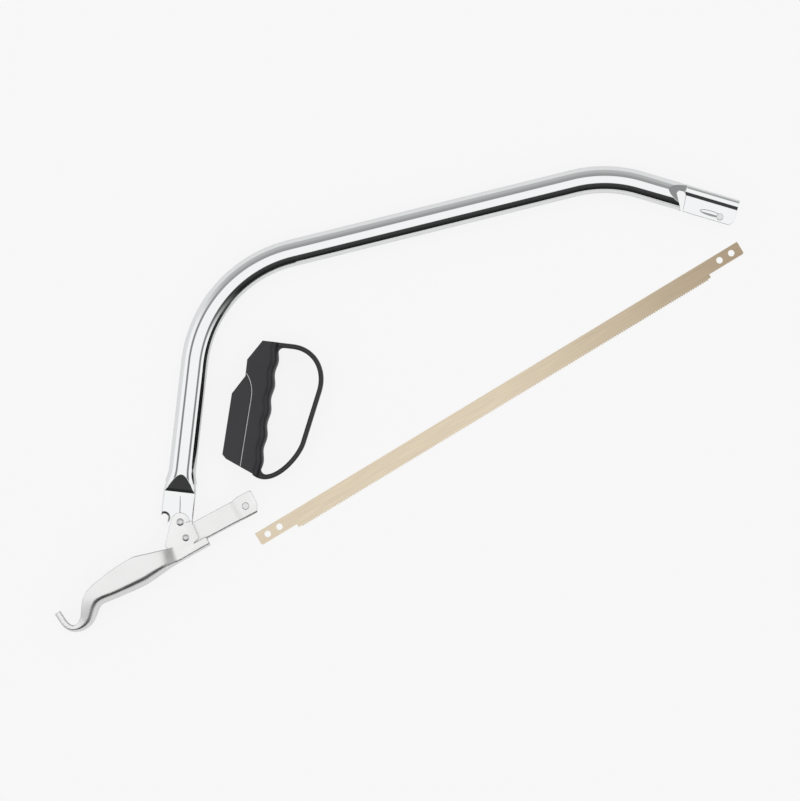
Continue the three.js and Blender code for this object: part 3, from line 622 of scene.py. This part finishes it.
def nose_cuts():
    below = -tube_radius - tube_wall
    arc = [math.pi * step / 24 for step in range(25)]
    drop = [(notch_front + notch_radius * (math.cos(turn) - 1), notch_rise + notch_radius * math.sin(turn))
            for turn in arc]
    notch = plate([(notch_front + notch_mouth, below), *drop, (notch_front, below)], -far, far)
    cut_top, past = slant_height - tube_radius, nose_length + slant_width
    slant = [(nose_length, cut_top), (nose_length + (below - cut_top) * slant_width / slant_height, below),
             (past, below), (past, cut_top)]
    hole = rod(front_peg_along, -front_peg_drop, peg_bore, 0, far)
    dent = bmesh.new()
    bmesh.ops.create_uvsphere(dent, u_segments=48, v_segments=24, radius=1)
    tilted = Matrix.Rotation(dent_tilt, 4, "X") @ Matrix.Diagonal(dent_sizes)
    moved(dent, Matrix.Translation(dent_place) @ tilted)
    place = Matrix.Translation(nose_corner) @ Matrix.Rotation(-nose_drop, 4, "Z")
    return [moved(cut, place) for cut in (notch, plate(slant, -far, far), dent, hole)]


outside = carved(outside, *nose_cuts())
print("with its nose", len(outside.faces), "faces")

# %% [markdown]
# A finished piece goes from millimetres to metres and on to the table, is shaded smooth between its
# sharp edges, and takes its material. It then rides on a body of the frame and stands in for one of
# its solids.

# %% Finished bow
def piece(name, bm, place, material, body, node, crease=35):
    bmesh.ops.remove_doubles(bm, verts=bm.verts, dist=1e-4)
    moved(bm, metres @ place)
    mesh = bpy.data.meshes.new(name)
    bm.to_mesh(mesh)
    bm.free()
    mesh.shade_smooth()
    mesh.set_sharp_from_angle(angle=math.radians(crease))
    mesh.materials.append(material)
    made = bpy.data.objects.new(name, mesh)
    bpy.context.collection.objects.link(made)
    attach(made, body)
    if node:
        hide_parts(node)
    print(name, len(mesh.polygons), "faces")


bow = carved(outside, hollow)
piece("bow_tube_polished", bow, bow_place, chrome, "frame", "bow_tube", crease=12)

# %% [markdown]
# Rivets, spacers and pegs are turned shapes, so each is a profile spun round its axis. A rivet's
# head is a low dome. The far ones are mirror images of the near ones.

# %% Rivets, spacers and pegs
crank_bore = 2.45
sheet = 1.5
neck_inner = fork_half + gap
neck_half = neck_inner + sheet
arm_half = 4.2
arm_end_half = 2.4


def lathe(profile, segments=48):
    bm = bmesh.new()
    verts = [bm.verts.new((radius, 0, height)) for radius, height in profile]
    edges = [bm.edges.new(pair) for pair in zip(verts, verts[1:])]
    bmesh.ops.spin(bm, geom=verts + edges, axis=up, cent=(0, 0, 0), angle=math.tau,
                   steps=segments, use_merge=True)
    bmesh.ops.remove_doubles(bm, verts=bm.verts, dist=1e-4)
    bmesh.ops.recalc_face_normals(bm, faces=bm.faces)
    return bm


def rivet_head(face, shank, lip=1.1, rise=1.5, steps=8):
    turns = [math.pi / 2 * step / steps for step in range(steps + 1)]
    curve = [((shank + lip) * math.cos(turn), face + gap + rise * math.sin(turn)) for turn in turns]
    return [(shank, face + gap), *curve]


def peg(face, foot):
    base, rim = face + gap, peg_radius + 0.6
    return lathe([(0, foot + gap), (peg_radius, foot + gap), (peg_radius, base), (rim, base),
                  (rim, base + 0.45), (rim - 0.35, base + 0.8), (0, base + 0.8)])


pivot_shank, pivot_foot = pivot_bore - 0.25, 5
stub = [(0, pivot_foot), (pivot_shank, pivot_foot), *rivet_head(neck_half, pivot_shank)]
upper = rivet_head(neck_half, crank_bore - 0.25)
through = [*((radius, -level) for radius, level in reversed(upper)), *upper]
ring_radius, ring_low, ring_high = 3.3, arm_half + gap, neck_inner - gap
ring = [(crank_bore, ring_low), (ring_radius, ring_low), (ring_radius, ring_high), (crank_bore, ring_high),
        (crank_bore, ring_low)]
flip = Matrix.Diagonal((1, 1, -1, 1))


def spun(profile, mirrored=False):
    bm = lathe(profile)
    if mirrored:
        moved(bm, flip)
        bmesh.ops.reverse_faces(bm, faces=bm.faces)
    return bm


crank_place = lever_place @ Matrix.Translation(crank_end)
for end, mirrored in (("near", False), ("far", True)):
    piece(f"pivot_rivet_{end}", spun(stub, mirrored), lever_place, rivet_steel, "lever",
          f"lever_pivot_rivet_{end}")
    piece(f"spacer_{end}", spun(ring, mirrored), crank_place, rivet_steel, "lever",
          f"arm_spacer_{end}")
piece("arm_rivet", spun(through), crank_place, rivet_steel, "lever", "arm_pivot_rivet")
front_peg_at = nose_corner + nose_along * front_peg_along + nose_under * front_peg_drop
front_peg_place = bow_place @ Matrix.Translation(front_peg_at)
piece("front_peg", peg(cheek_half, tube_wall - cheek_half), front_peg_place, rivet_steel,
      "frame", "front_blade_peg")
arm_turn = math.radians(28)
arm_place = crank_place @ Matrix.Rotation(arm_turn, 4, "Z")
arm_length = 63.7
arm_peg_place = arm_place @ Matrix.Translation((arm_length, 0, 0))
piece("arm_peg", peg(arm_end_half, sheet - arm_end_half), arm_peg_place, rivet_steel,
      "arm", "arm_blade_peg")

# %% [markdown]
# The lever is folded from one sheet: two cheeks and a rounded back between them. Its section
# changes along a smooth line from the hook to the foot, so it is a loft of channel outlines whose
# numbers are interpolated between a few stations.

# %% Tension lever
lever_half = 16.5
lever_stations = [  # x, y, depth of the cheeks, bulge of the back, half width
    (-117.2, -86.4, 4, 1.7, lever_half - 7.6),
    (-108.4, -98.3, 3.8, 1.8, lever_half - 6.8),
    (-101.5, -101, 3.2, 2.6, lever_half - 6.4),
    (-94.2, -98.2, 4, 5, lever_half - 5.8),
    (-88.6, -91.5, 6, 7.4, lever_half - 4.4),
    (-81, -72.4, 10, 9, lever_half - 0.4),
    (-62, -63.6, 17, 8.4, lever_half),
    (-38, -51.5, 19.6, 9.6, lever_half),
    (-18, -40.3, 13.4, 8, lever_half - 2),
    (-1.5, -35.4, 12, 3, neck_half),
    (10.5, -28.6, 6.3, 3, neck_half),
    (27, -19.3, 6.1, 3, neck_half),
]


def smooth_row(rows, steps):
    rows = [Vector(row) for row in rows]
    rows = [2 * rows[0] - rows[1], *rows, 2 * rows[-1] - rows[-2]]
    for first in range(len(rows) - 3):
        before, start, end, after = rows[first:first + 4]
        chords = (start - before, end - start, after - end)
        lead, span, tail = (chord.length ** 0.5 for chord in chords)
        leave = ((start - before) / lead - (end - before) / (lead + span) + (end - start) / span) * span
        arrive = ((end - start) / span - (after - start) / (span + tail) + (after - end) / tail) * span
        for step in range(steps):
            t = step / steps
            yield (start * (1 + 2 * t) * (1 - t) ** 2 + leave * t * (1 - t) ** 2
                   + end * t * t * (3 - 2 * t) + arrive * t * t * (t - 1))
    yield rows[-2]


def channel_outline(depth, bulge, half, thickness, steps=20):
    turns = [math.pi * step / steps for step in range(steps + 1)]
    outer = [(-bulge * math.sin(turn), half * math.cos(turn)) for turn in turns]
    inner = [((thickness - bulge) * math.sin(turn), (half - thickness) * math.cos(turn)) for turn in turns]
    return [(depth, half), *outer, (depth, -half), (depth, thickness - half), *reversed(inner),
            (depth, half - thickness)]


def lever_channel(steps=9):
    line = list(smooth_row([(x, y, 0) for x, y, *_ in lever_stations], steps))
    form = list(smooth_row([row[2:] for row in lever_stations], steps))
    halves = [row[4] for row in lever_stations]
    sections = []
    for place, at in enumerate(line):
        heading = (line[min(place + 1, len(line) - 1)] - line[max(place - 1, 0)]).normalized()
        across = Vector((-heading.y, heading.x, 0))
        depth, bulge, half = form[place]
        half = min(max(half, min(halves)), max(halves))
        sections.append([at + across * out + up * level
                         for out, level in channel_outline(depth, bulge, half, sheet)])
    return loft(sections)


print("lever line through", len(lever_stations), "stations")

# %% [markdown]
# Two flat cheeks stand up from the channel's foot and hang on the pivot rivets. Each has a lip, an
# edge bent slightly outwards that stiffens it. One cheek is drawn, and its mirror image is the other.

# %% Pivot cheeks and the finished lever
cheek_radius = 9
lip_start = [(4, -0.8), (12.2, -20.6)]
lip_end = [(10.4, 1.5), (17.7, -15)]


def pivot_cheek():
    turns = [math.pi * (1 - step / 24) for step in range(25)]
    arc = [(cheek_radius * math.cos(turn), cheek_radius * math.sin(turn)) for turn in turns]
    outline = [(-14.6, -22.6), *arc, (4.6, -0.8), (12.8, -20.6), (10.2, -28), (-1.5, -34.2)]
    return plate(outline, neck_inner, neck_half)


def lever_lip(rise=1.2):
    sections = []
    for edge, lift in ((lip_start, 0), (lip_end, rise)):
        inner = [Vector((x, y, neck_inner + lift)) for x, y in edge]
        outer = [Vector((x, y, neck_half + lift)) for x, y in reversed(edge)]
        sections.append(inner + outer)
    return loft(sections)


cheek = joined(pivot_cheek(), lever_lip(), "UNION")
mirrored_cheek = moved(cheek.copy(), flip)
bmesh.ops.reverse_faces(mirrored_cheek, faces=mirrored_cheek.faces)
lever = joined(joined(lever_channel(), cheek, "UNION"), mirrored_cheek, "UNION")
crank_hole = rod(crank_end.x, crank_end.y, crank_bore, -far, far)
lever = carved(lever, rod(0, 0, pivot_bore, -far, far), crank_hole)
piece("lever_plated", lever, lever_place, plated, "lever", "tension_lever", crease=40)

# %% [markdown]
# The arm is a narrow folded channel. Near its end both leaves step inwards, a joggle, so that the
# blade sits between them without play.

# %% Tension arm
arm_above = 9.75
arm_below = 10.65
arm_bulge = 2.5
tip_rise = 1.6
joggle_end = arm_length - 5
joggle_length = 10
arm_tip = arm_length + 11
arm_eye = 9


def arm_channel():
    joggle = [(joggle_end - joggle_length * (1 - step / 12), smoothstep(step / 12)) for step in range(13)]
    sections = []
    for x, share in [(-10.5, 0), *joggle, (arm_tip + 1.5, 1)]:
        half = arm_half + (arm_end_half - arm_half) * share
        outline = channel_outline(arm_above + tip_rise + arm_below - arm_bulge, arm_bulge, half, sheet)
        sections.append([Vector((x, out + arm_bulge - arm_below, level)) for out, level in outline])
    return loft(sections)


def arm_outline():
    upper, lower, rise_end = arm_above, -arm_below, arm_length - 3
    turns = [math.pi * (0.5 + step / 24) for step in range(25)]
    arc = [(arm_eye * math.cos(turn), arm_eye * math.sin(turn)) for turn in turns]
    outline = [(0, lower), (arm_tip - 4, lower), (arm_tip, lower + 8), (arm_tip, upper),
               (arm_tip - tip_rise, upper + tip_rise), (rise_end, upper + tip_rise),
               (rise_end - 7, upper), (arm_eye, upper), *arc]
    return plate(outline, -far, far)


arm = joined(arm_channel(), arm_outline(), "INTERSECT")
arm = carved(arm, rod(0, 0, crank_bore, -far, far), rod(arm_length, 0, peg_bore, 0, far))
piece("arm_plated", arm, arm_place, plated, "arm", "tension_arm", crease=35)

# %% [markdown]
# The blade is a thin strip with raked teeth, ten to the inch. Every other tooth is bent a little
# to one side, the set, so that the cut is wider than the strip.

# %% Saw blade
blade_end = 533 / 2
blade_sheet = 0.8
tang_half = 6.4
tang_length = 38.5
tang_corner = 1.2
tooth_pitch = 2.54
tooth_depth = 1.4
tooth_set = 0.3
tooth_rake = 0.76
blade_height = 17.5
hole_radius = 3.1
hole_places = (10.2, 23.2)


def saw_blade():
    tips = tang_half - blade_height
    roots, shoulder = tips + tooth_depth, blade_end - tang_length
    teeth = int(2 * (shoulder - 2) / tooth_pitch)
    starts = [(tooth - teeth / 2) * tooth_pitch for tooth in range(teeth)]
    edge = [point for x in starts for point in ((x, roots), (x + tooth_rake * tooth_pitch, tips))]
    outline = [(-blade_end, tang_half), (-blade_end, tang_corner - tang_half),
               (tang_corner - blade_end, -tang_half), (-shoulder, -tang_half), (-shoulder, roots),
               *edge, (-starts[0], roots), (shoulder, roots), (shoulder, -tang_half),
               (blade_end - tang_corner, -tang_half), (blade_end, tang_corner - tang_half),
               (blade_end, tang_half)]
    bm = plate(outline, 0, blade_sheet)
    holes = [side * (blade_end - inward) for side in (-1, 1) for inward in hole_places]
    bm = carved(bm, *(rod(x, 0, hole_radius, -5, 5) for x in holes))
    for vert in bm.verts:
        if vert.co.y < tips + 0.01:
            vert.co.z += tooth_set * (1 if round(vert.co.x / tooth_pitch - tooth_rake) % 2 else -1)
    return bm


piece("blade_toothed", saw_blade(), blade_place, blade_steel, "blade", "saw_blade", crease=20)

# %% [markdown]
# The handle is one moulding. Its grip is lofted down the leg with a finger wave on one side, and is
# then cut to its side view.

# %% Grip
handle_top = -49.5
grip_length = 117.3
foot_slope = 0.466
finger_depth, finger_pitch, finger_phase = 0.9, 24, 41.5
grip_depth, grip_taper = 17.9, 0.035
grip_round, grip_step, grip_spare = 10, 1.5, 3
saddle_wrap = 9.8
heel_cut = 3.7


def squared_off(value, power):
    return math.copysign(abs(value) ** power, value)


def foot_at(x):
    return handle_top - grip_length - foot_slope * x


def finger_side(y):
    below = y - handle_top
    wave = finger_depth * math.cos(math.tau * (below + finger_phase) / finger_pitch)
    return tube_radius + grip_depth + grip_taper * (below + grip_length / 2) + wave


def grip_solid():
    turns = [math.pi * (step / 28 - 0.5) for step in range(29)]
    sections = []
    start = handle_top + grip_spare
    steps = int((start - foot_at(far)) / grip_step)
    for step in range(steps + 1):
        y = start - grip_step * step
        centre = finger_side(y) - grip_round
        points = [(-far, lever_half), (-far, -lever_half)]
        points += [(centre + grip_round * math.cos(turn), lever_half * squared_off(math.sin(turn), 0.8))
                   for turn in turns]
        sections.append([Vector((x, y, level)) for x, level in points])
    heel = heel_cut - saddle_wrap
    saddle = [(15.8, 0), (3.4, -19.3), (3.4, -34.9), (-7.4, -52.7)]
    side = [*((x, handle_top + y) for x, y in saddle), (-saddle_wrap, foot_at(heel) + heel_cut),
            (heel, foot_at(heel)), (far, foot_at(far) + grip_spare), (far, handle_top)]
    return joined(loft(sections), plate(side, -far, far), "INTERSECT")


print("grip ends", round(-foot_at(0)), "mm below the corner")

# %% [markdown]
# The knuckle guard is a flat band, swept along two Bezier curves with a straight between them. Small
# fillets fill the corners where it meets the grip, as a mould needs.

# %% Knuckle guard
guard_reach = 76.3
guard_root = 20
guard_band = 4.7
guard_half_width = 9
fillet_trim = 0.5


def bezier(first, second, third, fourth, steps):
    for step in range(steps + 1):
        t = step / steps
        yield (first * (1 - t) ** 3 + second * 3 * t * (1 - t) ** 2
               + third * 3 * t * t * (1 - t) + fourth * t ** 3)


def guard_line():
    side_top = Vector((guard_reach, handle_top - 41.7, 0))
    side_foot = Vector((guard_reach - 9.5, foot_at(0) + 25.7, 0))
    down = (side_foot - side_top).normalized()
    top_end = Vector((guard_reach - 32.2, handle_top, 0))
    shoulder = Vector((guard_reach - 8.05, handle_top, 0))
    upper = bezier(top_end, shoulder, side_top - down * 20.85, side_top, 24)
    sweep = Vector((2 * guard_root, foot_at(3 * guard_root) + guard_band, 0))
    root = Vector((guard_root, foot_at(guard_root), 0))
    lower = bezier(side_foot, side_foot + down * 16.7, sweep, root, 24)
    return [Vector((guard_root, handle_top, 0)), *upper, *lower]


def knuckle_guard():
    line = guard_line()
    turns = [math.tau * step / 32 for step in range(32)]
    sections = []
    for place, at in enumerate(line):
        heading = (line[min(place + 1, len(line) - 1)] - line[max(place - 1, 0)]).normalized()
        inward = Vector((heading.y, -heading.x, 0))
        sections.append([at + inward * guard_band * (0.5 + 0.5 * squared_off(math.cos(turn), 0.4))
                         + up * guard_half_width * squared_off(math.sin(turn), 0.4) for turn in turns])
    return loft(sections)


def guard_fillets(radius=5):
    turns = [math.pi / 2 * step / 12 for step in range(13)]
    for x, y, rise in ((31.5, handle_top - guard_band, -radius), (27.6, foot_at(guard_root) + 1.5, radius)):
        arc = [(x + radius * (1 - math.sin(turn)), y + rise * (1 - math.cos(turn))) for turn in turns]
        outline = [*arc, (x - 3, y + rise), (x - 3, y - rise / 2), (x + radius, y - rise / 2)]
        yield plate(outline, fillet_trim - guard_half_width, guard_half_width - fillet_trim)


print("guard line of", len(guard_line()), "points")

# %% [markdown]
# The handle is hollowed along the tube's own route, a running gap larger and open on one side. A
# shallow recess on both faces takes the lever's cheeks.

# %% Channel and the finished handle
saddle_half = 14.7


def recess_edge():
    top, back, front = handle_top - 30.5, 2.5, 11.3
    corner = ((back, top), ((back + front) / 2, top - 4.6), (front, top - 11.5), (front, top - 23))
    return [*bezier(*(Vector(point) for point in corner), 16), Vector((7, foot_at(far)))]


def tube_channel():
    radius = tube_radius + gap
    turns = [math.pi * (step / 32 + 0.5) for step in range(33)]
    seat = [(radius * math.cos(turn), radius * math.sin(turn)) for turn in turns]
    outline = [(far, -radius), (far, radius), *seat]
    stations = [(leg_down * -foot_at(far), -leg_down),
                *list(bend(leg_down * leg_tangent, -leg_down, leg_turn, 24))[:12]]
    sections = [[at + Vector((-heading.y, heading.x, 0)) * out + up * level for out, level in outline]
                for at, heading in stations]
    return moved(loft(sections), Matrix.Rotation(leg_lean, 4, "Z"))


edge = [(point.x, point.y) for point in recess_edge()]
recess = [(-far, edge[0][1]), *edge, (-far, foot_at(far))]
handle = carved(grip_solid(), plate(recess, saddle_half, far), plate(recess, -far, -saddle_half))
for part in (knuckle_guard(), *guard_fillets()):
    handle = joined(handle, part, "UNION")
handle = carved(handle, tube_channel())
piece("handle_moulding", handle, handle_place, plastic, "handle", "handle", crease=40)

# %% [markdown]
# Where the recess begins, its edge catches the light. A hair-thin strip of the paler plastic along it
# paints that highlight, because a line so fine would be lost in a painted pattern.

# %% Painted highlight line
highlight_start = 3.6
highlight_sunk, highlight_proud = 0.1, 0.05


def painted_highlight_strip(half_width=0.26):
    line = [point for point in recess_edge() if point.x > highlight_start]
    start, end = line[-2:]
    step = end - start
    line[-1] = start + step * (foot_at(start.x) - start.y) / (step.y + foot_slope * step.x)
    sides = [[], []]
    for place, at in enumerate(line):
        heading = (line[min(place + 1, len(line) - 1)] - line[max(place - 1, 0)]).normalized()
        across = Vector((-heading.y, heading.x)) * half_width
        for side, out in zip(sides, (at + across, at - across)):
            side.append((out.x, out.y))
    return plate(sides[0] + sides[1][::-1], lever_half - highlight_sunk, lever_half + highlight_proud)


# A painted highlight: a pale strip laid along the recess edge.
piece("handle_painted_highlight", painted_highlight_strip(), handle_place, painted_highlight_plastic, "handle", None)
